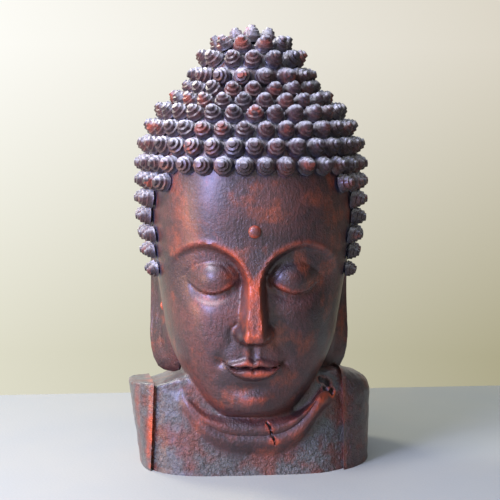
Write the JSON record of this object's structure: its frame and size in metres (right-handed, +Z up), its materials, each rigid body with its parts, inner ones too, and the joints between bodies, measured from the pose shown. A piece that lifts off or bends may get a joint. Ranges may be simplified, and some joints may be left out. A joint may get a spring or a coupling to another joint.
{
  "type": "buddha head bust",
  "caption": "Cast stone head with closed eyes, snail-shell curls in rows, a domed crown and long ear lobes, on a low flat-bottomed block of chest and shoulders.",
  "frame": {"origin": "on the ground, under the middle of the bust's bounding box", "axes": "+Z up through the crown; the chest faces -Y; +X is on the right of someone who looks at the face"},
  "size_m": [0.1694, 0.1888, 0.2975],
  "materials": {
    "patinated_stone": null
  },
  "bodies": {
    "root": {"buddha_head": "patinated_stone"}
  },
  "joints": []
}
